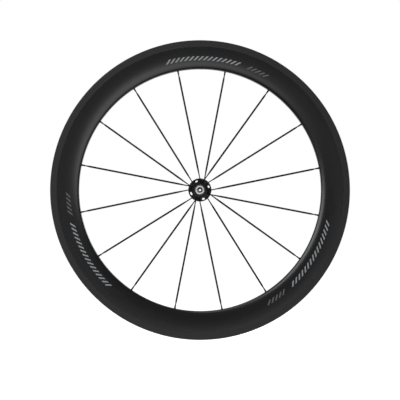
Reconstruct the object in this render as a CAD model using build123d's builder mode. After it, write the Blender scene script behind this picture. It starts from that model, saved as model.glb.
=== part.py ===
from build123d import *
import os
from math import asin, atan, cos, degrees, pi, radians, sin, sqrt, tan

# Front road wheel: a hollow deep rim, bladed spokes and a hub that turns on a hollow axle.
# The axle lies along Y, the origin is the wheel's centre, +Z is up and +X is forwards.
# The right side is -Y and the left side is +Y. All sizes are in millimetres, angles in degrees.

os.makedirs("parts", exist_ok=True)

# Rim section
rim_radius = 316.0
rim_depth = 60.0
edge_width = 23.6
track_width = 24.8
track_height = 14.0
shoulder_width = 22.8
nose_flat = 7.6
bed_drop = 5.0
bed_flat = 9.4
bed_wall = 2.0
track_wall = 2.2
side_wall = 1.5
spoke_bed_wall = 3.2
cavity_floor_width = 9.0
side_stations = (0.0, 0.3, 0.55, 0.8, 1.0)
cavity_stations = (0.3, 0.75)
valve_hole_radius = 3.25
valve_angle = 89.25

# Spoke lacing
spoke_count = 16
first_spoke_angle = 10.5
spoke_offset = 4.8

# Spokes and nipples
wire_radius = 1.15
blade_width = 3.8
blade_thickness = 0.95
head_radius = 2.0
head_length = 2.0
neck_length = 10.0
hub_taper = 24.0
nipple_taper = 10.0
section_sides = 6
nipple_radius = 2.0
nipple_reach = 7.5
nipple_head_radius = 3.0
nipple_head_length = 2.4

# Hub shell
flange_spacing = 69.0
flange_thickness = 7.0
flange_radius = 24.2
barrel_radius = 12.4
shell_wall = 3.4
cup_wall = 2.8
cup_lip = 1.5
window_count = 4
window_radius = 19.8
window_width = 4.2
window_span = 27.0
seat_radius = 18.4

# Bearings, axle and locknuts
bearing_bore_radius = 5.0
bearing_parting_radius = 7.2
bearing_radius = 11.0
bearing_width = 6.0
axle_body_radius = 6.2
axle_stub_radius = 4.5
axle_stub_length = 4.5
skewer_bore_radius = 2.7
locknut_spacing = 100.0
locknut_length = 7.0
locknut_radius = 9.1
ring_overhang = 0.6

# Clearances
running_gap = 0.3
seat_gap = 0.3
hole_gap = 0.25
thread_gap = 0.05
press_gap = 0.02

# Levels that follow from the sizes above
nose_radius = rim_radius - rim_depth
bed_radius = rim_radius - bed_drop
track_bottom = rim_radius - track_height
cavity_top = bed_radius - bed_wall
cavity_floor = nose_radius + spoke_bed_wall
flange_plane = flange_spacing / 2
flange_inner = flange_plane - flange_thickness / 2
flange_outer = flange_plane + flange_thickness / 2
dropout_face = locknut_spacing / 2
bearing_outer = dropout_face - locknut_length
bearing_inner = bearing_outer - bearing_width
spoke_pitch = 360 / spoke_count
spoke_lean = atan(flange_plane / (nose_radius - seat_radius))
nipple_seat = cavity_floor + nipple_head_radius * tan(spoke_lean) + hole_gap
nipple_length = nipple_reach + nipple_seat - nose_radius
seat_relief = (head_radius + seat_gap) * tan(spoke_lean)


def spoke_side(index):
    """Which flange a spoke hangs from: even spokes the right one (-1), odd spokes the left one (1)."""
    return -1 if index % 2 == 0 else 1


def spoke_swing(index):
    """Which way a spoke swings from its pair at the hub to its place in the rim."""
    return 1 if index % 4 in (0, 3) else -1


def spoke_heading(index):
    """Angle of a spoke's line in the wheel's plane; the line misses the axle by the spoke offset."""
    rim_angle = first_spoke_angle + index * spoke_pitch
    return rim_angle + spoke_swing(index) * degrees(asin(spoke_offset / nose_radius))


def spoke_point(index, radius, across_y):
    """Point of a spoke's line at a radius, set across the wheel by across_y."""
    heading = radians(spoke_heading(index))
    along = sqrt(radius**2 - spoke_offset**2)
    aside = spoke_swing(index) * spoke_offset
    x = along * cos(heading) + aside * sin(heading)
    z = along * sin(heading) - aside * cos(heading)
    return Vector(x, across_y, z)


def spoke_plane(index):
    """Plane under a spoke's head that faces along the spoke, with its X across the blade."""
    seat = spoke_point(index, seat_radius, spoke_side(index) * flange_plane)
    nipple = spoke_point(index, nipple_seat, 0)
    heading = radians(spoke_heading(index))
    return Plane(origin=seat, x_dir=(-sin(heading), 0, cos(heading)), z_dir=nipple - seat)


def radial_plane(angle, radius):
    """Plane that faces outwards at an angle round the wheel and a radius."""
    outwards = Vector(cos(radians(angle)), 0, sin(radians(angle)))
    return Plane(origin=outwards * radius, x_dir=(0, 1, 0), z_dir=outwards)


def wire_section(half_width, half_thickness):
    """Flat-sided section of a drawn wire: few flats keep the many spokes and nipples light."""
    turns = [2 * pi * side / section_sides for side in range(section_sides)]
    flat_reach = half_thickness / cos(pi / section_sides)
    points = [(half_width * cos(turn), flat_reach * sin(turn)) for turn in turns]
    return Polygon(*points, align=None)


def side_point(station, inset):
    """Point of the rim's side at a station from track (0) to nose (1), moved into the rim by inset."""
    track_end = Vector(track_bottom, track_width / 2)
    shoulder = Vector(nose_radius, shoulder_width / 2)
    nose_end = Vector(nose_radius, nose_flat / 2)
    before = track_end * (1 - station) + shoulder * station
    after = shoulder * (1 - station) + nose_end * station
    along = (after - before).normalized()
    return before * (1 - station) + after * station + Vector(-along.Y, along.X) * inset


spoke_length = (spoke_point(0, nipple_seat, 0) - spoke_point(0, seat_radius, -flange_plane)).length
spoke_planes = [spoke_plane(index) for index in range(spoke_count)]
nipple_planes = [plane.offset(spoke_length) for plane in spoke_planes]

# Rim: one moulded hollow ring with a tyre bed, brake tracks, full sides and a rounded nose
with BuildPart() as rim:
    with BuildSketch() as rim_section:
        with BuildLine():
            Polyline(
                (bed_radius, 0),
                (bed_radius, bed_flat / 2),
                (rim_radius, edge_width / 2),
                *[side_point(station, 0) for station in side_stations],
                (nose_radius, 0),
            )
            mirror(about=Plane.XZ)
        make_face()
        with BuildLine():
            Polyline(
                (cavity_top, 0),
                (cavity_top, edge_width / 2 - track_wall),
                *[side_point(station, side_wall) for station in cavity_stations],
                (cavity_floor, cavity_floor_width / 2),
                (cavity_floor, 0),
            )
            mirror(about=Plane.XZ)
        make_face(mode=Mode.SUBTRACT)
    revolve(axis=Axis.Y)
    # Spoke holes through the nose, along the spokes
    for plane in nipple_planes:
        with BuildSketch(plane):
            wire_section(nipple_radius + hole_gap, nipple_radius + hole_gap)
        extrude(amount=-nipple_length, mode=Mode.SUBTRACT)
    # Valve hole through the bed and the nose
    with Locations(radial_plane(valve_angle, rim_radius)):
        Cylinder(
            valve_hole_radius,
            rim_depth + spoke_bed_wall,
            align=(Align.CENTER, Align.CENTER, Align.MAX),
            mode=Mode.SUBTRACT,
        )
rim.part.label = "rim"
export_step(rim.part, "parts/rim.step")

# Spokes: a head, a round neck, a long flat blade and a round threaded end
thread_start = spoke_length - nipple_length
for index, plane in enumerate(spoke_planes):
    with BuildPart() as spoke:
        with BuildSketch(plane):
            wire_section(head_radius, head_radius)
        extrude(amount=-head_length)
        for distance in (0, neck_length):
            with BuildSketch(plane.offset(distance)):
                wire_section(wire_radius, wire_radius)
        for distance in (neck_length + hub_taper, thread_start - nipple_taper):
            with BuildSketch(plane.offset(distance)):
                wire_section(blade_width / 2, blade_thickness / 2)
        for distance in (thread_start, spoke_length):
            with BuildSketch(plane.offset(distance)):
                wire_section(wire_radius, wire_radius)
        loft(ruled=True)
    spoke.part.label = f"spoke_{index + 1:02d}"
    export_step(spoke.part, f"parts/{spoke.part.label}.step")

# Nipples: tubes that hang from the cavity floor by their heads and take the spokes' ends
with BuildPart() as spoke_nipples:
    for plane in nipple_planes:
        with BuildSketch(plane):
            wire_section(nipple_radius, nipple_radius)
        extrude(amount=-nipple_length)
        with BuildSketch(plane):
            wire_section(nipple_head_radius, nipple_head_radius)
        extrude(amount=nipple_head_length)
        with BuildSketch(plane.offset(nipple_head_length)):
            wire_section(wire_radius + thread_gap, wire_radius + thread_gap)
        extrude(amount=-nipple_head_length - nipple_length, mode=Mode.SUBTRACT)
spoke_nipples.part.label = "spoke_nipples"
export_step(spoke_nipples.part, "parts/spoke_nipples.step")

# Hub shell: a turned barrel with two flanges and a bearing cup at each end
with BuildPart() as hub_shell:
    with BuildSketch() as shell_section:
        with BuildLine():
            Polyline(
                (barrel_radius - shell_wall, 0),
                (barrel_radius, 0),
                (barrel_radius, flange_inner),
                (flange_radius, flange_inner),
                (flange_radius, flange_outer),
                (bearing_radius + cup_wall, flange_outer),
                (bearing_radius + cup_wall, bearing_outer + cup_lip),
                (bearing_radius + press_gap, bearing_outer + cup_lip),
                (bearing_radius + press_gap, bearing_inner),
                (barrel_radius - shell_wall, bearing_inner),
                close=True,
            )
        make_face()
        mirror(about=Plane.XZ)
    revolve(axis=Axis.Y)
    for side in (-1, 1):
        # Windows in a flange, midway between its pairs of spokes
        window_middle = first_spoke_angle + (spoke_pitch if side < 0 else 0)
        with BuildSketch(Plane.XZ.offset(-side * flange_outer)):
            with PolarLocations(0, window_count, window_middle - window_span / 2):
                SlotArc(CenterArc((0, 0), window_radius, 0, window_span, mode=Mode.PRIVATE), window_width)
        extrude(amount=side * flange_thickness, mode=Mode.SUBTRACT)
        # Keyhole seats, open to the outer face: a pocket for the head and a slot for the neck
        with BuildSketch(Plane.XZ.offset(-side * flange_outer)):
            for index in range(spoke_count):
                if spoke_side(index) == side:
                    seat = spoke_point(index, seat_radius, 0)
                    with Locations(Location((seat.X, seat.Z, 0), (0, 0, spoke_heading(index)))):
                        Rectangle(
                            flange_radius,
                            2 * (wire_radius + seat_gap),
                            align=(Align.MIN, Align.CENTER),
                        )
                    with Locations(Location((seat.X, seat.Z, 0), (0, 0, spoke_heading(index)))):
                        with Locations((seat_relief, 0)):
                            Rectangle(
                                head_length + seat_gap + 2 * seat_relief,
                                2 * (head_radius + seat_gap),
                                align=(Align.MAX, Align.CENTER),
                            )
        extrude(amount=side * (flange_thickness / 2 + head_radius + seat_gap), mode=Mode.SUBTRACT)
hub_shell.part.label = "hub_shell"
export_step(hub_shell.part, "parts/hub_shell.step")

# Axle: a stepped tube with a stub at each end for the fork
with BuildPart() as axle:
    with BuildSketch() as axle_section:
        with BuildLine():
            Polyline(
                (skewer_bore_radius, 0),
                (axle_body_radius, 0),
                (axle_body_radius, bearing_inner),
                (bearing_bore_radius, bearing_inner),
                (bearing_bore_radius, dropout_face),
                (axle_stub_radius, dropout_face),
                (axle_stub_radius, dropout_face + axle_stub_length),
                (skewer_bore_radius, dropout_face + axle_stub_length),
                close=True,
            )
        make_face()
        mirror(about=Plane.XZ)
    revolve(axis=Axis.Y)
axle.part.label = "axle"
export_step(axle.part, "parts/axle.step")

# Sealed bearings: an outer ring with its seals, pressed into each cup
with BuildPart() as bearing_outer_rings:
    with BuildSketch(Plane.XZ.offset(bearing_inner)):
        Circle(bearing_radius)
        Circle(bearing_parting_radius + running_gap, mode=Mode.SUBTRACT)
    extrude(amount=bearing_width)
    mirror(about=Plane.XZ)
bearing_outer_rings.part.label = "bearing_outer_rings"
export_step(bearing_outer_rings.part, "parts/bearing_outer_rings.step")

# Sealed bearings: an inner ring on each axle seat, which stands out to keep the locknut off the seal
with BuildPart() as bearing_inner_rings:
    with BuildSketch(Plane.XZ.offset(bearing_inner)):
        Circle(bearing_parting_radius)
        Circle(bearing_bore_radius + press_gap, mode=Mode.SUBTRACT)
    extrude(amount=bearing_width + ring_overhang)
    mirror(about=Plane.XZ)
bearing_inner_rings.part.label = "bearing_inner_rings"
export_step(bearing_inner_rings.part, "parts/bearing_inner_rings.step")

# Locknuts: threaded on the axle, they clamp the inner rings and meet the fork ends
with BuildPart() as locknuts:
    with BuildSketch(Plane.XZ.offset(bearing_outer + ring_overhang)):
        Circle(locknut_radius)
        Circle(bearing_bore_radius + thread_gap, mode=Mode.SUBTRACT)
    extrude(amount=locknut_length - ring_overhang)
    mirror(about=Plane.XZ)
locknuts.part.label = "locknuts"
export_step(locknuts.part, "parts/locknuts.step")
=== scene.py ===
from math import asin, cos, pi, radians, sin, sqrt

import bmesh
import bpy
from mathutils import Matrix, Vector


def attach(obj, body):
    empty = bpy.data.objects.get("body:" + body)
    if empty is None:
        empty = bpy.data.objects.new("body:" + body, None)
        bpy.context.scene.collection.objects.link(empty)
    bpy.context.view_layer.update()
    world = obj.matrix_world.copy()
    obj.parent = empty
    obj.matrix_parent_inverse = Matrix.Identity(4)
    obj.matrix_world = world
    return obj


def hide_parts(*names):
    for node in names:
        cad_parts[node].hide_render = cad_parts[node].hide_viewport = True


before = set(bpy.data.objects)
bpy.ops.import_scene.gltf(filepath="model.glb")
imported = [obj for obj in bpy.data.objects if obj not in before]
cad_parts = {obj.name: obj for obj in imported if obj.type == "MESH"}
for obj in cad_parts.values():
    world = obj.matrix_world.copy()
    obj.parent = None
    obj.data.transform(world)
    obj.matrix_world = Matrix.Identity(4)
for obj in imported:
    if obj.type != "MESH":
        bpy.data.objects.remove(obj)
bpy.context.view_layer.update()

bl_info = {
    "name": "Road wheel",
    "version": (1, 0, 0),
    "blender": (4, 5, 0),
    "location": "3D View > Sidebar > Road wheel",
    "description": "Dresses a deep-rimmed front road wheel around its CAD frame",
    "category": "Object",
}

MM = 0.001
SPOKE_COUNT = 16
# Steps round a full turn
RING_STEPS = 432
CAVITY_STEPS = 144
TURNED_STEPS = 160
AXLE_STEPS = 96
DRILL_STEPS = 24
VALVE_STEPS = 32
NIPPLE_STEPS = 32
# Steps along a flange window's arcs, and round each of its ends
WINDOW_STEPS = 8
# Edges that turn by more degrees than this stay sharp in the shading
SHARP_EDGE = 30.0
# Radius at which patterns that run round the wheel have their true length
PATTERN_RADIUS = 285 * MM
# Blasted, dyed oxide traps light in its pores, so it reflects like a lower index
OXIDE_IOR = 1.33
# Material slots of the rim
LACQUER, TRACK, BED = range(3)
# How far a cutter stands out of what it cuts
CUT_ROOM = 1 * MM


# Values that a user would change


def length(name, description, millimetres):
    """A length property, written in millimetres."""
    return bpy.props.FloatProperty(
        name=name, description=description, default=millimetres * MM,
        subtype="DISTANCE", unit="LENGTH", precision=4,
    )


def angle(name, description, degrees):
    """An angle property, written in degrees."""
    return bpy.props.FloatProperty(
        name=name, description=description, default=radians(degrees), subtype="ANGLE",
    )


def linear(hex_colour):
    """Turns an sRGB hex colour into linear red, green, blue and alpha."""
    channels = [int(hex_colour[i:i + 2], 16) / 255 for i in (1, 3, 5)]
    return [c / 12.92 if c <= 0.04045 else ((c + 0.055) / 1.055) ** 2.4 for c in channels] + [1.0]


def colour(name, description, hex_colour):
    """A colour property, written as an sRGB hex value."""
    return bpy.props.FloatVectorProperty(
        name=name, description=description, default=linear(hex_colour), size=4,
        subtype="COLOR", min=0.0, max=1.0,
    )


class WheelSizes(bpy.types.PropertyGroup):
    """Sizes of the wheel's pieces, as in the CAD frame, and of the bevels that dress them."""

    rim_radius: length("Rim radius", "Outer edge of the rim", 316.0)
    rim_depth: length("Rim depth", "From the outer edge to the nose", 60.0)
    edge_width: length("Edge width", "Rim width at its outer edge", 23.6)
    lip_width: length("Lip width", "Rounded lip beside the tyre bed", 0.5)
    track_width: length("Track width", "Rim width at the bottom of the brake track", 24.8)
    track_height: length("Track height", "Height of the brake track", 14.0)
    shoulder_width: length("Shoulder width", "Width that the sides round off from", 22.8)
    nose_flat: length("Nose flat", "Width of the flat under the nose", 7.6)
    bed_drop: length("Bed drop", "How deep the tyre bed lies under the edge", 5.0)
    wall: length("Wall", "Thickness of the rim's sides", 1.5)
    bed_wall: length("Bed wall", "Thickness of the rim under the tyre bed", 2.0)
    track_wall: length("Track wall", "Thickness of the rim behind the brake track", 2.2)
    nose_wall: length("Nose wall", "Thickness of the rim under the nipples", 3.2)
    cavity_floor: length("Cavity floor", "Width of the floor under the nipples' heads", 9.0)
    valve_radius: length("Valve hole radius", "Hole for the valve stem", 3.25)
    valve_angle: angle("Valve angle", "Where the valve hole is", 89.25)
    first_spoke_angle: angle("First spoke", "Angle of the first spoke at the rim", 10.5)
    spoke_offset: length("Spoke offset", "How far a spoke's line passes the axle", 4.8)
    seat_radius: length("Seat radius", "Where the spoke heads sit in the flange", 18.4)
    wire_radius: length("Wire radius", "Round ends of a spoke", 1.15)
    blade_width: length("Blade width", "Width of the flat blade", 3.8)
    blade_thickness: length("Blade thickness", "Thickness of the flat blade", 0.95)
    head_radius: length("Head radius", "Head of a spoke", 2.0)
    head_length: length("Head length", "Height of a spoke's head", 2.0)
    neck_length: length("Neck length", "Round neck under the head", 10.0)
    hub_taper: length("Hub taper", "From the round neck to the blade", 24.0)
    nipple_taper: length("Nipple taper", "From the blade to the round end", 10.0)
    nipple_radius: length("Nipple radius", "Body of a nipple", 2.0)
    nipple_reach: length("Nipple reach", "How far a nipple stands out of the rim", 7.5)
    nipple_flats: length("Nipple flats", "How far the wrench flats reach from the tip", 5.2)
    nipple_head_radius: length("Nipple head radius", "Head inside the rim", 3.0)
    nipple_head_length: length("Nipple head length", "Height of the head inside the rim", 2.4)
    flange_spacing: length("Flange spacing", "Between the flanges' middles", 69.0)
    flange_thickness: length("Flange thickness", "Thickness of a flange", 7.0)
    flange_radius: length("Flange radius", "Outer radius of a flange", 24.2)
    flange_bevel: length("Flange bevel", "Bevel of the flanges' edges", 0.5)
    barrel_radius: length("Barrel radius", "Hub between the flanges", 12.4)
    barrel_fillet: length("Barrel fillet", "Round between the barrel and a flange", 3.0)
    shell_wall: length("Shell wall", "Wall of the hub's barrel", 3.4)
    cup_radius: length("Cup radius", "Outside of a bearing cup", 13.8)
    cup_end: length("Cup end", "From the middle to a cup's end", 44.5)
    cup_bevel: length("Cup bevel", "Outer bevel of a cup's end", 0.6)
    mouth_bevel: length("Mouth bevel", "Bevel at the mouth of a bearing seat", 0.4)
    cut_bevel: length("Cut bevel", "Bevel of the windows and spoke seats", 0.25)
    window_radius: length("Window radius", "Middle line of the flange windows", 19.8)
    window_width: length("Window width", "Width of a flange window", 4.2)
    window_span: angle("Window span", "Angle between a window's round ends", 27.0)
    slot_reach: length("Slot reach", "From a spoke's seat out past the flange", 12.0)
    pocket_corner: length("Pocket corner", "Cut corners of a spoke head's pocket", 0.8)
    bearing_bore: length("Bearing bore", "Axle seat of a bearing", 5.0)
    bearing_parting: length("Bearing parting", "Outside of a bearing's inner ring", 7.2)
    bearing_radius: length("Bearing radius", "Outside of a bearing", 11.0)
    bearing_inner: length("Bearing inner face", "From the middle to a bearing", 37.0)
    bearing_outer: length("Bearing outer face", "From the middle to a bearing's outer face", 43.0)
    bearing_bevel: length("Bearing bevel", "Bevel of a bearing's rings", 0.3)
    race_wall: length("Race wall", "Wall of a bearing's outer ring", 1.4)
    ring_overhang: length("Ring overhang", "How far an inner ring stands out of its bearing", 0.6)
    axle_body: length("Axle body", "Axle between the bearings", 6.2)
    stub_radius: length("Stub radius", "Axle end in the fork", 4.5)
    stub_length: length("Stub length", "Axle end outside the locknut", 4.5)
    thread_pitch: length("Thread pitch", "Pitch of the thread on the axle ends", 1.0)
    thread_depth: length("Thread depth", "Depth of the thread on the axle ends", 0.35)
    axle_bevel: length("Axle bevel", "Bevel of the axle's shoulder and bore", 0.3)
    skewer_bore: length("Skewer bore", "Hole through the axle", 2.7)
    locknut_radius: length("Locknut radius", "Outside of a locknut", 9.1)
    locknut_face: length("Locknut face", "From the middle to the fork end", 50.0)
    face_bevel: length("Face bevel", "Bevel round a locknut's outer face", 0.7)
    gap: length("Gap", "Room between pieces that fit together", 0.3)
    nipple_gap: length("Nipple gap", "Room round a nipple in the rim", 0.25)
    thread_gap: length("Thread gap", "Room between a thread and what is screwed on it", 0.05)
    press_gap: length("Press gap", "Room between a bearing and its seats", 0.02)


class WheelFinishes(bpy.types.PropertyGroup):
    """Colours of the wheel's finishes."""

    carbon_dark: colour("Carbon, dark tow", "Fibre under the lacquer", "#070708")
    carbon_light: colour("Carbon, light tow", "Fibre that catches the light", "#0d0d0e")
    track_dark: colour("Track, dark", "Weave of the brake track, valleys", "#060607")
    track_light: colour("Track, light", "Weave of the brake track, crowns", "#0f1011")
    bed: colour("Tyre bed", "Bare resin under the tyre", "#1a1a1a")
    marking: colour("Marking", "Printed bars on the rim", "#787b7e")
    marking_faint: colour("Faint marking", "Darker printed bars", "#47494c")
    spoke: colour("Spokes", "Blackened steel", "#0a0a0a")
    anodised: colour("Black anodising", "Hub, axle and nipples", "#0a0a0b")
    silver: colour("Silver", "Turned aluminium of the locknuts", "#d0d1d2")
    steel: colour("Bearing steel", "Ground rings", "#8d8f92")
    seal: colour("Seal", "Moulded rubber", "#0f0f0f")
    floor: colour("Floor", "White paper", "#f4f4f4")


# Materials


def node(tree, kind, inputs=None, **fields):
    """Adds a node with its settings, and sets or links its inputs."""
    made = tree.nodes.new(kind)
    for field, value in fields.items():
        setattr(made, field, value)
    for socket, value in (inputs or {}).items():
        if isinstance(value, bpy.types.NodeSocket):
            tree.links.new(value, made.inputs[socket])
        else:
            made.inputs[socket].default_value = value
    return made


def new_material(name):
    """An empty node material and its tree."""
    made = bpy.data.materials.new(name)
    made.use_nodes = True
    made.node_tree.nodes.clear()
    return made, made.node_tree


def finish_material(tree, **sockets):
    """Puts a Principled shader with these sockets on the material's output."""
    named = {socket.replace("_", " "): value for socket, value in sockets.items()}
    shader = node(tree, "ShaderNodeBsdfPrincipled", named)
    node(tree, "ShaderNodeOutputMaterial", {"Surface": shader.outputs["BSDF"]})


def round_coordinates(tree):
    """Coordinates that run round the wheel: metres along the ring, radius and place across."""
    place = node(tree, "ShaderNodeTexCoord").outputs["Object"]
    x, y, z = node(tree, "ShaderNodeSeparateXYZ", {0: place}).outputs
    turn = node(tree, "ShaderNodeMath", {0: z, 1: x}, operation="ARCTAN2")
    flat = node(tree, "ShaderNodeCombineXYZ", {0: x, 2: z})
    radius = node(tree, "ShaderNodeVectorMath", {0: flat.outputs[0]}, operation="LENGTH")
    along = node(tree, "ShaderNodeMath", {0: turn.outputs[0], 1: PATTERN_RADIUS}, operation="MULTIPLY")
    ring = node(
        tree, "ShaderNodeCombineXYZ", {0: along.outputs[0], 1: radius.outputs["Value"], 2: y},
    )
    return ring.outputs[0]


def lacquered_carbon(f):
    """Carbon tape under satin lacquer: near black, with soft broad highlights and faint long streaks."""
    made, tree = new_material("lacquered_carbon_fibre")
    ring = round_coordinates(tree)
    # Tape streaks are 0.3 mm wide; 3 mm here, because finer ones do not show in the render
    long, wide = 60, 3
    stretched = node(
        tree, "ShaderNodeVectorMath", {0: ring, 1: (1 / long, 1 / wide, 1 / wide)},
        operation="MULTIPLY",
    )
    streaks = node(
        tree, "ShaderNodeTexNoise",
        {"Vector": stretched.outputs[0], "Scale": 1 / MM, "Detail": 3.0, "Roughness": 0.55},
    )
    tone = node(
        tree, "ShaderNodeMixRGB",
        {"Fac": streaks.outputs["Fac"], "Color1": f.carbon_dark, "Color2": f.carbon_light},
    )
    rough = node(
        tree, "ShaderNodeMapRange",
        {"Value": streaks.outputs["Fac"], "To Min": 0.2, "To Max": 0.26},
    )
    finish_material(tree, Base_Color=tone.outputs[0], Roughness=rough.outputs[0], IOR=1.5)
    return made


def brake_carbon(f):
    """Woven carbon, sanded for the brake pads: a dull dark grey with a fine weave."""
    made, tree = new_material("woven_carbon_brake_track")
    ring = round_coordinates(tree)
    # The tows are 2 mm wide
    weave = node(
        tree, "ShaderNodeTexChecker",
        {"Vector": ring, "Color1": f.track_dark, "Color2": f.track_light, "Scale": 1 / (2 * MM)},
    )
    bump = node(
        tree, "ShaderNodeBump",
        {"Height": weave.outputs["Fac"], "Strength": 0.25, "Distance": 0.05 * MM},
    )
    finish_material(
        tree, Base_Color=weave.outputs["Color"], Roughness=0.7, IOR=1.5, Normal=bump.outputs[0],
    )
    return made


def grained(name, base, roughness, grain_mm, depth_mm, ior=1.5):
    """A plain finish with the fine grain that blasting, moulding or oxide leaves on it."""
    made, tree = new_material(name)
    place = node(tree, "ShaderNodeTexCoord").outputs["Object"]
    # Real grain is about 0.1 mm wide; it is drawn coarser, because finer grain does not show
    grain = node(
        tree, "ShaderNodeTexNoise", {"Vector": place, "Scale": 1 / (grain_mm * MM), "Detail": 2.0},
    )
    rough = node(
        tree, "ShaderNodeMapRange",
        {"Value": grain.outputs["Fac"], "To Min": roughness - 0.06, "To Max": roughness + 0.06},
    )
    bump = node(
        tree, "ShaderNodeBump",
        {"Height": grain.outputs["Fac"], "Strength": 0.2, "Distance": depth_mm * MM},
    )
    finish_material(
        tree, Base_Color=base, Roughness=rough.outputs[0], IOR=ior, Normal=bump.outputs[0],
    )
    return made


def turned(name, base, roughness, pitch_mm, metallic=1.0):
    """Metal turned in a lathe: rings of fine tool marks about the axle that spread its shine."""
    made, tree = new_material(name)
    radius = node(tree, "ShaderNodeSeparateXYZ", {0: round_coordinates(tree)}).outputs["Y"]
    # Real marks are about 0.1 mm apart; they are drawn coarser, because finer ones do not show
    marks = node(
        tree, "ShaderNodeMath", {0: radius, 1: 2 * pi / (pitch_mm * MM)}, operation="MULTIPLY",
    )
    wave = node(tree, "ShaderNodeMath", {0: marks.outputs[0]}, operation="SINE")
    bump = node(
        tree, "ShaderNodeBump",
        {"Height": wave.outputs[0], "Strength": 0.3, "Distance": 0.01 * MM},
    )
    finish_material(
        tree, Base_Color=base, Metallic=metallic, Roughness=roughness, Normal=bump.outputs[0],
    )
    return made


def printed(name, base):
    """Flat ink under the lacquer: even grey with a slight mottle."""
    made, tree = new_material(name)
    place = node(tree, "ShaderNodeTexCoord").outputs["Object"]
    # The mottle's patches are 4 mm wide
    mottle = node(tree, "ShaderNodeTexNoise", {"Vector": place, "Scale": 1 / (4 * MM)})
    rough = node(
        tree, "ShaderNodeMapRange",
        {"Value": mottle.outputs["Fac"], "To Min": 0.4, "To Max": 0.5},
    )
    finish_material(tree, Base_Color=base, Roughness=rough.outputs[0], IOR=1.5)
    return made


# Mesh making


def add_piece(name, mesh_maker, materials, body, replaced=(), sharp=SHARP_EDGE, hollow=()):
    """Turns a bmesh into a smooth-shaded piece that rides on a CAD body; hollow is a cavity's faces."""
    mesh = bpy.data.meshes.new(name)
    bmesh.ops.recalc_face_normals(mesh_maker, faces=mesh_maker.faces)
    bmesh.ops.reverse_faces(mesh_maker, faces=hollow)
    mesh_maker.to_mesh(mesh)
    mesh_maker.free()
    for material in materials:
        mesh.materials.append(material)
    piece = bpy.data.objects.new(name, mesh)
    bpy.context.scene.collection.objects.link(piece)
    shade(mesh, sharp)
    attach(piece, body)
    if replaced:
        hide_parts(*replaced)
    return piece


def shade(mesh, sharp):
    """Smooth shading that keeps edges sharper than an angle in degrees."""
    mesh.shade_smooth()
    mesh.set_sharp_from_angle(angle=radians(sharp))


def revolve(maker, section, steps, indices=None):
    """Turns a closed section of (radius, y) points about the axle; indices gives each side's material."""
    turns = [2 * pi * step / steps for step in range(steps)]
    rings, faces = [], []
    for radius, y in section:
        rings.append([maker.verts.new((radius * cos(a), y, radius * sin(a))) for a in turns])
    for side in range(len(section)):
        near, far = rings[side], rings[(side + 1) % len(section)]
        for step in range(steps):
            after = (step + 1) % steps
            face = maker.faces.new((near[step], near[after], far[after], far[step]))
            face.material_index = indices[side] if indices else 0
            faces.append(face)
    return faces


def turned_pair(maker, section):
    """Two like turned pieces, one each side of the wheel."""
    revolve(maker, section, TURNED_STEPS)
    revolve(maker, [(radius, -y) for radius, y in section], TURNED_STEPS)


def bevelled_ring(inside, outside, low, high, bevels):
    """Section of a ring; the bevels run from its low inner corner round to its high inner one."""
    first, second, third, fourth = bevels
    return [
        (inside, low + first), (inside + first, low), (outside - second, low), (outside, low + second),
        (outside, high - third), (outside - third, high), (inside + fourth, high),
        (inside, high - fourth),
    ]


def both_sides(section):
    """A half section and its mirror image across the wheel's middle plane."""
    return section + [(radius, -y) for radius, y in reversed(section) if y != 0]


def skin(maker, rings):
    """Joins rings of points into a tube and closes its ends."""
    made = [[maker.verts.new(point) for point in ring] for ring in rings]
    for near, far in zip(made, made[1:]):
        for step in range(len(near)):
            after = (step + 1) % len(near)
            maker.faces.new((near[step], near[after], far[after], far[step]))
    maker.faces.new(list(reversed(made[0])))
    maker.faces.new(made[-1])


def oval(place, level, half_width, half_thickness, power=2.0, steps=16):
    """A ring of points round a local Z axis; a power over 2 makes it squarer than an ellipse."""
    points = []
    for step in range(steps):
        turn = 2 * pi * step / steps
        c, s = cos(turn), sin(turn)
        x = half_width * abs(c) ** (2 / power) * (1 if c >= 0 else -1)
        y = half_thickness * abs(s) ** (2 / power) * (1 if s >= 0 else -1)
        points.append(place @ Vector((x, y, level)))
    return points


def circle(place, level, radius, steps=16):
    """A round ring of points about a local Z axis."""
    return oval(place, level, radius, radius, steps=steps)


def carve(piece, cutters, bevel=0.0):
    """Cuts a mesh of cutters out of a piece, and softens its edges where a bevel is given."""
    mesh = bpy.data.meshes.new("cutters")
    bmesh.ops.recalc_face_normals(cutters, faces=cutters.faces)
    cutters.to_mesh(mesh)
    cutters.free()
    tool = bpy.data.objects.new("cutters", mesh)
    bpy.context.scene.collection.objects.link(tool)
    cut = piece.modifiers.new("cut", "BOOLEAN")
    cut.object = tool
    cut.operation = "DIFFERENCE"
    cut.solver = "MANIFOLD"
    if bevel:
        soft = piece.modifiers.new("soft", "BEVEL")
        soft.width = bevel
        soft.segments = 2
        soft.limit_method = "ANGLE"
        soft.angle_limit = radians(50)
    graph = bpy.context.evaluated_depsgraph_get()
    carved = bpy.data.meshes.new_from_object(piece.evaluated_get(graph))
    piece.modifiers.clear()
    carved.name = piece.name
    piece.data = carved
    bpy.data.objects.remove(tool)
    shade(carved, SHARP_EDGE)


# The wheel's lines


def spoke_side(index):
    """Even spokes hang from the right flange (-1), odd spokes from the left one (1)."""
    return -1 if index % 2 == 0 else 1


def spoke_swing(index):
    """Which way a spoke swings from its pair at the hub to its place in the rim."""
    return 1 if index % 4 in (0, 3) else -1


def nose_radius(s):
    """Inner radius of the rim."""
    return s.rim_radius - s.rim_depth


def spoke_heading(s, index):
    """Angle of a spoke's line in the wheel's plane."""
    at_rim = s.first_spoke_angle + index * 2 * pi / SPOKE_COUNT
    return at_rim + spoke_swing(index) * asin(s.spoke_offset / nose_radius(s))


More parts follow.
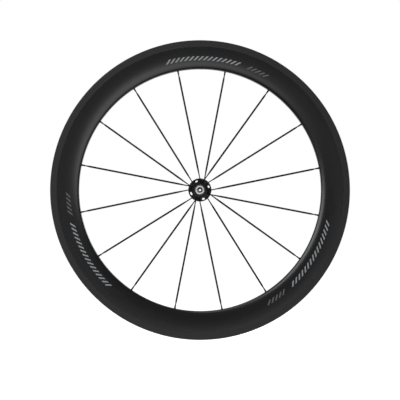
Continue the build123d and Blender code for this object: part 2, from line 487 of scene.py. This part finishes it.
def spoke_point(s, index, radius, y):
    """Point of a spoke's line at a radius, set across the wheel by y."""
    heading = spoke_heading(s, index)
    along = sqrt(radius**2 - s.spoke_offset**2)
    aside = spoke_swing(index) * s.spoke_offset
    x = along * cos(heading) + aside * sin(heading)
    z = along * sin(heading) - aside * cos(heading)
    return Vector((x, y, z))


def spoke_lean(s):
    """How far a spoke leans across the wheel for each metre outwards."""
    return (s.flange_spacing / 2) / (nose_radius(s) - s.seat_radius)


def nipple_seat(s):
    """Radius at which the nipples' heads sit on the floor of the rim's cavity."""
    return nose_radius(s) + s.nose_wall + s.nipple_head_radius * spoke_lean(s) + s.nipple_gap


def nipple_length(s):
    """Length of a nipple's body under its head."""
    return s.nipple_reach + nipple_seat(s) - nose_radius(s)


def spoke_frame(s, index):
    """Matrix under a spoke's head, Z along the spoke and X across its blade, and the spoke's length."""
    seat = spoke_point(s, index, s.seat_radius, spoke_side(index) * s.flange_spacing / 2)
    along = spoke_point(s, index, nipple_seat(s), 0) - seat
    z_axis = along.normalized()
    heading = spoke_heading(s, index)
    x_axis = Vector((-sin(heading), 0, cos(heading)))
    y_axis = z_axis.cross(x_axis)
    turned_axes = Matrix((x_axis, y_axis, z_axis)).transposed().to_4x4()
    return Matrix.Translation(seat) @ turned_axes, along.length


def side_point(s, station, inset=0.0):
    """Point of the rim's side as (radius, y) from track (0) to nose (1), moved in by inset."""
    track = Vector((s.rim_radius - s.track_height, s.track_width / 2))
    shoulder = Vector((nose_radius(s), s.shoulder_width / 2))
    nose = Vector((nose_radius(s), s.nose_flat / 2))
    before = track.lerp(shoulder, station)
    after = shoulder.lerp(nose, station)
    along = (after - before).normalized()
    return before.lerp(after, station) + Vector((-along.y, along.x)) * inset


def flange_face(s):
    """From the wheel's middle to the outer face of a flange."""
    return s.flange_spacing / 2 + s.flange_thickness / 2


def smooth_step(value):
    """Eases from 0 to 1."""
    value = min(max(value, 0.0), 1.0)
    return value * value * (3 - 2 * value)


# Operators, one for each piece or group


class WHEEL_OT_rim(bpy.types.Operator):
    """Builds the hollow rim with its brake tracks, tyre bed, spoke holes and valve hole"""

    bl_idname = "wheel.rim"
    bl_label = "Rim"

    def execute(self, context):
        s, f = context.scene.wheel_sizes, context.scene.wheel_finishes
        section, kinds = self.half_section(s)
        maker = bmesh.new()
        # The mirror image runs back from the nose to the bed, and its materials with it
        revolve(maker, both_sides(section), RING_STEPS, kinds[:-1] + kinds[-2::-1])
        hollow = revolve(maker, both_sides(self.half_cavity(s)), CAVITY_STEPS)
        piece = add_piece(
            "rim_shell", maker, [lacquered_carbon(f), brake_carbon(f), self.bed_resin(f)],
            "wheel", ["rim"], hollow=hollow,
        )
        drills = bmesh.new()
        self.drill_spoke_holes(s, drills)
        self.drill_valve_hole(s, drills)
        carve(piece, drills)
        return {"FINISHED"}

    def bed_resin(self, f):
        """Bare moulded resin, dull and dark, where the tyre is glued."""
        return grained("bare_carbon_resin", f.bed, roughness=0.6, grain_mm=0.8, depth_mm=0.03)

    def half_section(self, s):
        """Half of the outer section as (radius, y) points from bed to nose, and each side's material."""
        half_edge, half_track = s.edge_width / 2, s.track_width / 2
        bed, bottom = s.rim_radius - s.bed_drop, s.rim_radius - s.track_height
        trough = (half_edge**2 + s.bed_drop**2) / (2 * s.bed_drop)
        bed_steps, side_steps = 12, 36
        points = []
        for step in range(bed_steps + 1):
            y = (half_edge - s.lip_width) * step / bed_steps
            points.append((bed + trough - sqrt(trough**2 - y**2), y))
        kinds = [BED] * len(points)
        # The rounded lip, by millimetres down from the rim's edge and in from its side
        for down, inwards in ((0.05, 0.35), (0.0, 0.2), (0.15, 0.05), (0.5, -0.02)):
            points.append((s.rim_radius - down * MM, half_edge - inwards * MM))
        for share in (0.25, 0.5, 0.75, 0.95):
            y = half_edge + share * (half_track - half_edge)
            points.append((s.rim_radius - share * s.track_height, y))
        # The fine groove under the track, by millimetres up from its bottom and in from its side
        for up, inwards in ((0.35, 0.02), (0.25, 0.15)):
            points.append((bottom + up * MM, half_track - inwards * MM))
        kinds += [TRACK] * (len(points) - len(kinds) - 1)
        stations = [0.0, 0.004] + [0.01 + 0.99 * step / side_steps for step in range(side_steps + 1)]
        points += [tuple(side_point(s, station)) for station in stations]
        points += [(nose_radius(s), s.nose_flat / 4), (nose_radius(s), 0.0)]
        kinds += [LACQUER] * (len(points) - len(kinds))
        return points, kinds

    def half_cavity(self, s):
        """Half of the cavity's section, a wall's thickness inside the rim."""
        top = s.rim_radius - s.bed_drop - s.bed_wall
        floor = nose_radius(s) + s.nose_wall
        points = [(top, 0.0), (top, s.edge_width / 2 - s.track_wall)]
        points += [tuple(side_point(s, station, s.wall)) for station in (0.2, 0.4, 0.6, 0.75)]
        return points + [(floor, s.cavity_floor / 2), (floor, 0.0)]

    def drill_spoke_holes(self, s, drills):
        """A drill along each nipple, from its tip to its head."""
        hole = s.nipple_radius + s.nipple_gap
        for index in range(SPOKE_COUNT):
            place, reach = spoke_frame(s, index)
            levels = (reach - nipple_length(s), reach)
            skin(drills, [circle(place, level, hole, DRILL_STEPS) for level in levels])

    def drill_valve_hole(self, s, drills):
        """A drill through the nose and the bed, where the valve's stem goes."""
        outwards = Vector((cos(s.valve_angle), 0, sin(s.valve_angle)))
        place = outwards.to_track_quat("Z", "Y").to_matrix().to_4x4()
        levels = (nose_radius(s) - CUT_ROOM, s.rim_radius)
        skin(drills, [circle(place, level, s.valve_radius, VALVE_STEPS) for level in levels])


class WHEEL_OT_spokes(bpy.types.Operator):
    """Builds the bladed spokes, each with its head, round neck, blade and threaded end"""

    bl_idname = "wheel.spokes"
    bl_label = "Spokes"

    def execute(self, context):
        s, f = context.scene.wheel_sizes, context.scene.wheel_finishes
        # Drawn steel wire with black oxide: dark satin with a fine grain
        oxide = grained(
            "black_oxide_steel", f.spoke, roughness=0.42, grain_mm=0.6, depth_mm=0.01, ior=OXIDE_IOR,
        )
        for index in range(SPOKE_COUNT):
            place, reach = spoke_frame(s, index)
            maker = bmesh.new()
            skin(maker, self.rings(s, place, reach))
            node_name = f"spoke_{index + 1:02d}"
            add_piece(
                f"bladed_{node_name}", maker, [oxide], "wheel", [node_name], sharp=50.0,
            )
        return {"FINISHED"}

    def rings(self, s, place, reach):
        """Rings of points along a spoke from the top of its head to its end."""
        wire = s.wire_radius
        thread = reach - nipple_length(s)
        taper_steps = 8
        rings = []
        # The head, by shares of its height and radius, and the small fillet under it
        for level, width in ((-1.0, 0.7), (-0.85, 0.95), (-0.6, 1.0), (-0.1, 1.0), (0.0, 0.94)):
            rings.append(circle(place, level * s.head_length, width * s.head_radius))
        rings.append(circle(place, 0.02 * MM, 1.15 * wire))
        rings.append(circle(place, 0.5 * MM, wire))
        shares = [step / taper_steps for step in range(taper_steps + 1)]
        stations = [s.neck_length + s.hub_taper * share for share in shares]
        stations += [thread - s.nipple_taper * (1 - share) for share in shares]
        for station in stations:
            flat = min(
                smooth_step((station - s.neck_length) / s.hub_taper),
                smooth_step((thread - station) / s.nipple_taper),
            )
            half_width = wire + flat * (s.blade_width / 2 - wire)
            half_thickness = wire + flat * (s.blade_thickness / 2 - wire)
            # The blade's section is fuller than an ellipse
            rings.append(oval(place, station, half_width, half_thickness, 2 + 0.8 * flat))
        rings.append(circle(place, reach, wire))
        return rings


class WHEEL_OT_nipples(bpy.types.Operator):
    """Builds the nipples with their wrench flats, tips and heads"""

    bl_idname = "wheel.nipples"
    bl_label = "Nipples"

    def execute(self, context):
        s, f = context.scene.wheel_sizes, context.scene.wheel_finishes
        # Black anodised aluminium: a smooth dyed oxide skin with sharp little lights on its flats
        anodised = grained(
            "black_anodised_nipple", f.anodised,
            roughness=0.35, grain_mm=0.5, depth_mm=0.01, ior=OXIDE_IOR,
        )
        maker = bmesh.new()
        for index in range(SPOKE_COUNT):
            place, reach = spoke_frame(s, index)
            skin(maker, self.rings(s, place @ Matrix.Translation((0, 0, reach))))
        add_piece("nipple_set", maker, [anodised], "wheel", ["spoke_nipples"])
        return {"FINISHED"}

    def rings(self, s, place):
        """Rings of points along a nipple from its tip to its head."""
        body, head = s.nipple_radius, s.nipple_head_radius
        tip = -nipple_length(s)
        flats_end = tip + s.nipple_flats
        bore, bore_depth, flat = s.wire_radius + s.thread_gap, 1.5 * MM, 0.8 * body
        # Level, radius and distance of the wrench flats
        profile = [
            (tip + bore_depth, bore, body),
            (tip, bore, body),
            (tip, 0.72 * body, body),
            (tip + 0.5 * MM, 0.95 * body, flat),
            (tip + 0.9 * MM, body, flat),
            (flats_end, body, flat),
            (flats_end + 0.15 * MM, body, body),
            (-0.1 * MM, body, body),
            (0, 0.9 * head, head),
            (0.4 * s.nipple_head_length, head, head),
            (s.nipple_head_length, 0.7 * head, head),
        ]
        return [self.ring(place, *step) for step in profile]

    def ring(self, place, level, radius, flat):
        """A circle cut by four wrench flats at a distance from its middle."""
        points = []
        for step in range(NIPPLE_STEPS):
            turn = 2 * pi * step / NIPPLE_STEPS
            reach = min(radius, flat / max(abs(cos(turn)), abs(sin(turn))))
            points.append(place @ Vector((reach * cos(turn), reach * sin(turn), level)))
        return points


class WHEEL_OT_hub(bpy.types.Operator):
    """Builds the hub shell with its flanges, windows, keyhole spoke seats and bearing cups"""

    bl_idname = "wheel.hub"
    bl_label = "Hub shell"

    def execute(self, context):
        s, f = context.scene.wheel_sizes, context.scene.wheel_finishes
        # Forged and turned aluminium, blasted and anodised black: deep satin with soft edges
        anodised = grained(
            "black_anodised_hub", f.anodised,
            roughness=0.34, grain_mm=0.4, depth_mm=0.012, ior=OXIDE_IOR,
        )
        maker = bmesh.new()
        revolve(maker, both_sides(self.half_section(s)), TURNED_STEPS)
        piece = add_piece("hub_body", maker, [anodised], "wheel", ["hub_shell"])
        cutters = bmesh.new()
        for side in (-1, 1):
            self.cut_windows(s, cutters, side)
            self.cut_seats(s, cutters, side)
        carve(piece, cutters, s.cut_bevel)
        return {"FINISHED"}

    def half_section(self, s):
        """Half of the shell's section from the barrel's middle round the flange and cup to the bore."""
        inner, outer = s.flange_spacing / 2 - s.flange_thickness / 2, flange_face(s)
        barrel, fillet, edge = s.barrel_radius, s.barrel_fillet, s.flange_bevel
        bore, seat = barrel - s.shell_wall, s.bearing_radius + s.press_gap
        fillet_steps = 6
        points = [(barrel, 0.0)]
        for step in range(fillet_steps + 1):
            turn = pi / 2 * step / fillet_steps
            points.append((barrel + fillet * (1 - cos(turn)), inner - fillet * (1 - sin(turn))))
        return points + [
            (s.flange_radius - edge, inner),
            (s.flange_radius, inner + edge),
            (s.flange_radius, outer - edge),
            (s.flange_radius - edge, outer),
            (s.cup_radius + edge, outer),
            (s.cup_radius, outer + edge),
            (s.cup_radius, s.cup_end - s.cup_bevel),
            (s.cup_radius - s.cup_bevel, s.cup_end),
            (s.bearing_radius + s.mouth_bevel, s.cup_end),
            (seat, s.cup_end - s.mouth_bevel),
            (seat, s.bearing_inner),
            (bore, s.bearing_inner),
            (bore, 0.0),
        ]

    def cut_windows(self, s, cutters, side):
        """Arc-shaped windows through a flange, midway between its pairs of spokes."""
        half = s.window_width / 2
        first = s.first_spoke_angle + (2 * pi / SPOKE_COUNT if side < 0 else 0)
        arc = [s.window_span * step / WINDOW_STEPS for step in range(WINDOW_STEPS + 1)]
        for quarter in range(4):
            middle = first + quarter * pi / 2
            start, end = middle - s.window_span / 2, middle + s.window_span / 2
            outline = [self.polar(s.window_radius + half, start + swept) for swept in arc]
            outline += self.window_end(s, end, end)
            outline += [self.polar(s.window_radius - half, end - swept) for swept in arc]
            outline += self.window_end(s, start, start + pi)
            self.prism(s, cutters, outline, side, s.flange_thickness + CUT_ROOM)

    def window_end(self, s, turn, first):
        """Points of a window's round end, half a turn from a first direction."""
        middle = self.polar(s.window_radius, turn)
        turns = [first + pi * step / WINDOW_STEPS for step in range(1, WINDOW_STEPS)]
        return [middle + self.polar(s.window_width / 2, swept) for swept in turns]

    def polar(self, radius, turn):
        """Point of the wheel's plane at a radius and an angle."""
        return Vector((radius * cos(turn), radius * sin(turn)))

    def cut_seats(self, s, cutters, side):
        """Keyhole seats, open to the outer face: a pocket for the head and a slot for the neck."""
        slot, pocket = s.wire_radius + s.gap, s.head_radius + s.gap
        # Room for the head's lean across the flange
        relief = pocket * spoke_lean(s)
        back = -(s.head_length + s.gap + relief)
        corner = s.pocket_corner
        # Half of the keyhole, by distances along the spoke and aside from it
        half = [
            (s.slot_reach, -slot), (relief, -slot), (relief, -pocket),
            (back + corner, -pocket), (back, -pocket + corner),
        ]
        keyhole = half + [(along, -aside) for along, aside in reversed(half)]
        for index in range(SPOKE_COUNT):
            if spoke_side(index) != side:
                continue
            seat = spoke_point(s, index, s.seat_radius, 0)
            origin = Vector((seat.x, seat.z))
            along = self.polar(1, spoke_heading(s, index))
            across = Vector((-along.y, along.x))
            outline = [origin + along * a + across * b for a, b in keyhole]
            self.prism(s, cutters, outline, side, s.flange_thickness / 2 + pocket)

    def prism(self, s, cutters, outline, side, depth):
        """A cutter with this outline that goes from outside a flange to a depth under its outer face."""
        levels = [side * (flange_face(s) + CUT_ROOM), side * (flange_face(s) - depth)]
        skin(cutters, [[Vector((p.x, y, p.y)) for p in outline] for y in levels])


class WHEEL_OT_bearings(bpy.types.Operator):
    """Builds the sealed bearings: outer rings, rubber seals and inner rings"""

    bl_idname = "wheel.bearings"
    bl_label = "Bearings"

    def execute(self, context):
        s, f = context.scene.wheel_sizes, context.scene.wheel_finishes
        # Ground bearing steel: a hard grey shine
        steel = turned("ground_bearing_steel", f.steel, roughness=0.25, pitch_mm=0.4)
        # Moulded rubber seal: flat black
        rubber = grained("moulded_rubber_seal", f.seal, roughness=0.65, grain_mm=0.4, depth_mm=0.02)
        low, high, soft = s.bearing_inner, s.bearing_outer, s.bearing_bevel
        bore, parting = s.bearing_bore + s.press_gap, s.bearing_parting
        seal_edge = s.bearing_radius - s.race_wall
        maker = bmesh.new()
        turned_pair(maker, bevelled_ring(seal_edge, s.bearing_radius, low, high, [soft] * 4))
        add_piece("bearing_races", maker, [steel], "wheel", ["bearing_outer_rings"])
        maker = bmesh.new()
        seal = bevelled_ring(parting + s.gap, seal_edge, low + soft, high - soft, [soft / 2] * 4)
        turned_pair(maker, seal)
        add_piece("bearing_seals", maker, [rubber], "wheel", ())
        maker = bmesh.new()
        turned_pair(maker, bevelled_ring(bore, parting, low, high + s.ring_overhang, [soft] * 4))
        add_piece("bearing_cones", maker, [steel], "axle", ["bearing_inner_rings"])
        return {"FINISHED"}


class WHEEL_OT_axle(bpy.types.Operator):
    """Builds the hollow axle with its threaded ends"""

    bl_idname = "wheel.axle"
    bl_label = "Axle"

    def execute(self, context):
        s, f = context.scene.wheel_sizes, context.scene.wheel_finishes
        # Turned and anodised tube: a dark oxide skin over fine rings
        dark = turned("black_anodised_axle", f.anodised, roughness=0.36, pitch_mm=0.5, metallic=0.0)
        maker = bmesh.new()
        revolve(maker, both_sides(self.half_section(s)), AXLE_STEPS)
        add_piece("axle_tube", maker, [dark], "axle", ["axle"])
        return {"FINISHED"}

    def half_section(self, s):
        """Half of the axle's section, with the thread on its stub drawn as rings."""
        end, bevel = s.locknut_face + s.stub_length, s.axle_bevel
        # Inside the locknut the axle narrows to the stub, and the stub's end has a longer bevel
        step_start, step_end = s.locknut_face - 0.6 * MM, s.locknut_face - 0.1 * MM
        end_inset, end_length = 0.4 * MM, 0.45 * MM
        points = [
            (s.axle_body, 0.0),
            (s.axle_body, s.bearing_inner - bevel),
            (s.axle_body - bevel, s.bearing_inner),
            (s.bearing_bore, s.bearing_inner),
            (s.bearing_bore, step_start),
            (s.stub_radius, step_end),
        ]
        for turn in range(4):
            start = s.locknut_face + turn * s.thread_pitch
            points.append((s.stub_radius, start + 0.3 * s.thread_pitch))
            points.append((s.stub_radius - s.thread_depth, start + 0.65 * s.thread_pitch))
        return points + [
            (s.stub_radius, end - end_length),
            (s.stub_radius - end_inset, end),
            (s.skewer_bore + bevel, end),
            (s.skewer_bore, end - bevel),
            (s.skewer_bore, 0.0),
        ]


class WHEEL_OT_locknuts(bpy.types.Operator):
    """Builds the silver locknuts with their bevels"""

    bl_idname = "wheel.locknuts"
    bl_label = "Locknuts"

    def execute(self, context):
        s, f = context.scene.wheel_sizes, context.scene.wheel_finishes
        # Turned aluminium left silver: bright, with fine rings
        silver = turned("turned_silver_aluminium", f.silver, roughness=0.42, pitch_mm=0.6)
        low, face = s.bearing_outer + s.ring_overhang, s.locknut_face
        inside, outside = s.bearing_bore + s.thread_gap, s.locknut_radius
        bore_bevel, back_bevel, mouth_bevel = 0.2 * MM, 0.4 * MM, 0.55 * MM
        bevels = (bore_bevel, back_bevel, s.face_bevel, mouth_bevel)
        maker = bmesh.new()
        turned_pair(maker, bevelled_ring(inside, outside, low, face, bevels))
        add_piece("locknut_pair", maker, [silver], "axle", ["locknuts"])
        return {"FINISHED"}


class WHEEL_OT_markings(bpy.types.Operator):
    """Prints three sets of plain slanted bars on each side of the rim"""

    bl_idname = "wheel.markings"
    bl_label = "Rim markings"

    def execute(self, context):
        s, f = context.scene.wheel_sizes, context.scene.wheel_finishes
        set_middles = (88.0, 210.2, 329.6)
        ink_share = 0.44
        # Name, colour, first and last angle from a set's middle in degrees, and number of bars
        for name, base, start, end, bars in (
            ("marking_bars", f.marking, 16.3, -16.3, 16),
            ("marking_bars_faint", f.marking_faint, -19.8, -29.4, 5),
        ):
            ink = printed(f"{name}_ink", base)
            maker = bmesh.new()
            pitch = (end - start) / bars
            for side in (-1, 1):
                for middle in set_middles:
                    for bar in range(bars):
                        self.bar(s, maker, side, middle + start + pitch * bar, pitch * ink_share)
            add_piece(name, maker, [ink], "wheel", (), sharp=60.0)
        return {"FINISHED"}

    def bar(self, s, maker, side, start, span):
        """One slanted bar that lies on the rim's side, from a start over a span in degrees."""
        low_station, high_station = 0.378, 0.245
        lift, slant = 0.06 * MM, 1.9
        row_count, column_count = 6, 4
        rows = []
        for row in range(row_count + 1):
            share = row / row_count
            station = low_station + (high_station - low_station) * share
            radius, y = side_point(s, station, -lift)
            first = start - slant * (share - 0.5)
            turns = [radians(first + span * k / column_count) for k in range(column_count + 1)]
            rows.append([maker.verts.new((radius * cos(a), side * y, radius * sin(a))) for a in turns])
        for near, far in zip(rows, rows[1:]):
            for k in range(column_count):
                maker.faces.new((near[k], near[k + 1], far[k + 1], far[k]))


class WHEEL_OT_stage(bpy.types.Operator):
    """Sets the camera, the floor, the soft lamps and the white background"""

    bl_idname = "wheel.stage"
    bl_label = "Stage"

    def execute(self, context):
        scene = context.scene
        scene.view_settings.view_transform = "Standard"
        self.camera(scene)
        self.floor(scene, scene.wheel_finishes)
        self.lamp(scene, "left_softbox", place=(-2.28, -2.77, 1.14), size=(2.5, 2.6), power=68.0)
        self.lamp(scene, "overhead_softbox", place=(-0.47, -1.15, 2.0), size=(1.3, 1.3), power=9.2)
        self.lamp(scene, "rear_softbox", place=(2.2, 2.3, 1.3), size=(2.0, 2.0), power=60.0)
        self.background(scene)
        return {"FINISHED"}

    def camera(self, scene):
        """A long lens straight in front of the wheel, as in the photograph."""
        lens = bpy.data.cameras.new("camera")
        lens.sensor_width = 36.0
        lens.lens = 102.0
        camera = bpy.data.objects.new("camera", lens)
        camera.location = (0.012, -2.4, -0.027)
        target = Vector((0.0001, 0, -0.0209))
        camera.rotation_mode = "QUATERNION"
        camera.rotation_quaternion = (target - camera.location).to_track_quat("-Z", "Y")
        scene.collection.objects.link(camera)
        scene.camera = camera

    def floor(self, scene, f):
        """A large sheet of white paper some way under the wheel, which hangs from its axle."""
        half_size, front_edge, level = 10.0, -0.45, -0.62
        maker = bmesh.new()
        bmesh.ops.create_grid(maker, x_segments=8, y_segments=8, size=half_size)
        mesh = bpy.data.meshes.new("floor")
        maker.to_mesh(mesh)
        maker.free()
        mesh.materials.append(self.paper(f))
        floor = bpy.data.objects.new("floor", mesh)
        floor.location = (0, front_edge + half_size, level)
        scene.collection.objects.link(floor)

    def paper(self, f):
        """Matt white paper with faint fibres, lifted for the camera so that it meets the background."""
        made, tree = new_material("white_paper_floor")
        place = node(tree, "ShaderNodeTexCoord").outputs["Object"]
        # Clumps of fibres are 6 mm wide
        fibres = node(tree, "ShaderNodeTexNoise", {"Vector": place, "Scale": 1 / (6 * MM)})
        bump = node(
            tree, "ShaderNodeBump",
            {"Height": fibres.outputs["Fac"], "Strength": 0.05, "Distance": 0.1 * MM},
        )
        path = node(tree, "ShaderNodeLightPath")
        paper = node(tree, "ShaderNodeBsdfDiffuse", {"Color": f.floor, "Normal": bump.outputs[0]})
        lift = node(
            tree, "ShaderNodeMath", {0: path.outputs["Is Camera Ray"], 1: 0.4}, operation="MULTIPLY",
        )
        glow = node(tree, "ShaderNodeEmission", {"Strength": lift.outputs[0]})
        both = node(tree, "ShaderNodeAddShader", {0: paper.outputs[0], 1: glow.outputs[0]})
        node(tree, "ShaderNodeOutputMaterial", {"Surface": both.outputs[0]})
        return made

    def lamp(self, scene, name, place, size, power):
        """A soft lamp that faces the wheel."""
        light = bpy.data.lights.new(name, "AREA")
        light.shape = "RECTANGLE"
        light.size, light.size_y = size
        light.energy = power
        lamp = bpy.data.objects.new(name, light)
        lamp.location = place
        lamp.rotation_mode = "QUATERNION"
        lamp.rotation_quaternion = (-lamp.location).to_track_quat("-Z", "Y")
        scene.collection.objects.link(lamp)

    def background(self, scene):
        """White behind the wheel, and a dim studio in front of it."""
        world = bpy.data.worlds.new("studio")
        scene.world = world
        world.use_nodes = True
        tree = world.node_tree
        tree.nodes.clear()
        path = node(tree, "ShaderNodeLightPath")
        way = node(tree, "ShaderNodeTexCoord").outputs["Generated"]
        right, back, up = node(tree, "ShaderNodeSeparateXYZ", {0: way}).outputs
        front = self.studio_front(tree, right, back, up)
        studio = node(
            tree, "ShaderNodeMapRange",
            {"Value": back, "From Min": 0.7, "From Max": 0.97, "To Min": front, "To Max": 1.0},
        )
        glossy = node(
            tree, "ShaderNodeMath",
            {0: path.outputs["Is Glossy Ray"], 1: path.outputs["Is Transmission Ray"]},
            operation="MAXIMUM",
        )
        # Ambient light for plain surfaces, the reflected studio for shiny ones, white for the eye
        ambient = node(
            tree, "ShaderNodeMapRange",
            {"Value": glossy.outputs[0], "To Min": 0.7, "To Max": studio.outputs[0]},
        )
        strength = node(
            tree, "ShaderNodeMapRange",
            {"Value": path.outputs["Is Camera Ray"], "To Min": ambient.outputs[0], "To Max": 1.0},
        )
        shader = node(
            tree, "ShaderNodeBackground", {"Color": (1, 1, 1, 1), "Strength": strength.outputs[0]},
        )
        node(tree, "ShaderNodeOutputWorld", {"Surface": shader.outputs[0]})

    def studio_front(self, tree, right, back, up):
        """Brightness of the dim studio, darker above the camera, with a reflector low on the right."""
        dim = node(
            tree, "ShaderNodeMapRange",
            {"Value": up, "From Min": -0.1, "From Max": 0.0, "To Min": 0.36, "To Max": 0.175},
        )
        aside = node(tree, "ShaderNodeMath", {0: right, 1: 0.42}, operation="MULTIPLY")
        lower = node(tree, "ShaderNodeMath", {0: aside.outputs[0], 1: up}, operation="SUBTRACT")
        # The reflector is brightest beside the camera and reaches further round on the right
        towards = node(tree, "ShaderNodeMath", {0: right, 1: -0.22, 2: back}, operation="MULTIPLY_ADD")
        facing = node(
            tree, "ShaderNodeMapRange",
            {
                "Value": towards.outputs[0], "From Min": -0.98, "From Max": -0.73,
                "To Min": 1.92, "To Max": 0.06,
            },
        )
        front = node(
            tree, "ShaderNodeMapRange",
            {
                "Value": lower.outputs[0], "From Min": 0.085, "From Max": 0.16,
                "To Min": dim.outputs[0], "To Max": facing.outputs[0],
            },
        )
        return front.outputs[0]


class WHEEL_PT_pieces(bpy.types.Panel):
    """Lists the wheel's pieces"""

    bl_idname = "WHEEL_PT_pieces"
    bl_label = "Road wheel"
    bl_space_type = "VIEW_3D"
    bl_region_type = "UI"
    bl_category = "Road wheel"

    def draw(self, context):
        for operator in OPERATORS:
            self.layout.operator(operator.bl_idname)


OPERATORS = (
    WHEEL_OT_rim, WHEEL_OT_markings, WHEEL_OT_spokes, WHEEL_OT_nipples, WHEEL_OT_hub,
    WHEEL_OT_bearings, WHEEL_OT_axle, WHEEL_OT_locknuts, WHEEL_OT_stage,
)
CLASSES = (WheelSizes, WheelFinishes, *OPERATORS, WHEEL_PT_pieces)


def register():
    """Registers the classes and hangs their values on the scene."""
    for made in CLASSES:
        bpy.utils.register_class(made)
    bpy.types.Scene.wheel_sizes = bpy.props.PointerProperty(type=WheelSizes)
    bpy.types.Scene.wheel_finishes = bpy.props.PointerProperty(type=WheelFinishes)


def unregister():
    """Takes the values and classes away again."""
    del bpy.types.Scene.wheel_finishes
    del bpy.types.Scene.wheel_sizes
    for made in reversed(CLASSES):
        bpy.utils.unregister_class(made)


def main():
    register()
    bpy.ops.wheel.rim()
    bpy.ops.wheel.markings()
    bpy.ops.wheel.spokes()
    bpy.ops.wheel.nipples()
    bpy.ops.wheel.hub()
    bpy.ops.wheel.bearings()
    bpy.ops.wheel.axle()
    bpy.ops.wheel.locknuts()
    bpy.ops.wheel.stage()


if __name__ == "__main__":
    main()
